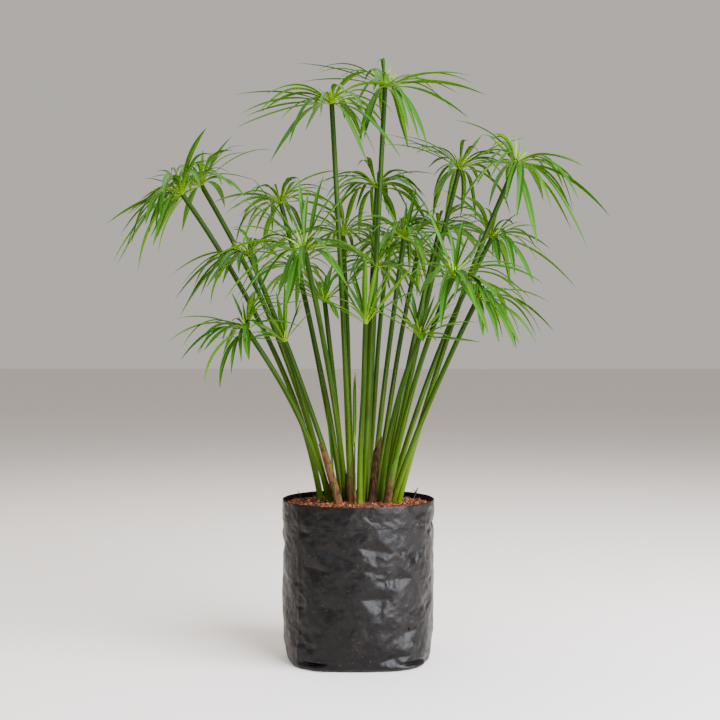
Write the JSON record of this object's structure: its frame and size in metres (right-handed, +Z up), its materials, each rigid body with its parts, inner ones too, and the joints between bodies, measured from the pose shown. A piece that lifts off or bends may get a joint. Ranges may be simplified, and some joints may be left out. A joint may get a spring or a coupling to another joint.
{
  "type": "potted umbrella sedge",
  "caption": "Umbrella sedge in a black film grow bag: bare culms rooted in coco peat, each under a whorl of drooping strap bracts.",
  "frame": {"origin": "middle of the bag's flat foot, on the surface that it stands on", "axes": "+Z up the plant; the plant's front faces -Y; +X to its right as the front is seen"},
  "size_m": [0.5223, 0.4275, 0.642],
  "materials": {
    "film": "crumpled semi-gloss polythene film",
    "mix": "damp coco peat and chips, rough and matte",
    "culm": "smooth fresh green stem, finely striate, satin",
    "bract": "fresh green leaf, keeled, satin",
    "sheath": "dry papery brown sheath, matte",
    "shoot": "young leaf, light green, satin"
  },
  "bodies": {
    "root": {"grow_bag": "film", "growing_mix": "mix", "culm_01": "culm", "culm_02": "culm", "culm_03": "culm", "culm_04": "culm", "culm_05": "culm", "culm_06": "culm", "culm_07": "culm", "culm_08": "culm", "culm_09": "culm", "culm_10": "culm", "culm_11": "culm", "culm_12": "culm", "culm_13": "culm", "culm_14": "culm", "culm_15": "culm", "culm_16": "culm", "culm_17": "culm", "culm_18": "culm", "culm_19": "culm", "culm_20": "culm", "culm_21": "culm", "culm_22": "culm", "culm_23": "culm", "culm_24": "culm", "culm_25": "culm", "whorl_01": "bract", "whorl_02": "bract", "whorl_03": "bract", "whorl_04": "bract", "whorl_05": "bract", "whorl_06": "bract", "whorl_07": "bract", "whorl_08": "bract", "whorl_09": "bract", "whorl_10": "bract", "whorl_11": "bract", "whorl_12": "bract", "whorl_13": "bract", "whorl_14": "bract", "whorl_15": "bract", "whorl_16": "bract", "whorl_17": "bract", "whorl_18": "bract", "whorl_19": "bract", "whorl_20": "bract", "whorl_21": "bract", "whorl_22": "bract", "whorl_23": "bract", "whorl_24": "bract", "whorl_25": "bract", "sheath_01": "sheath", "sheath_10": "sheath", "sheath_12": "sheath", "sheath_15": "sheath", "shoot_spear": "shoot", "shoot_spike": "shoot"}
  },
  "joints": []
}
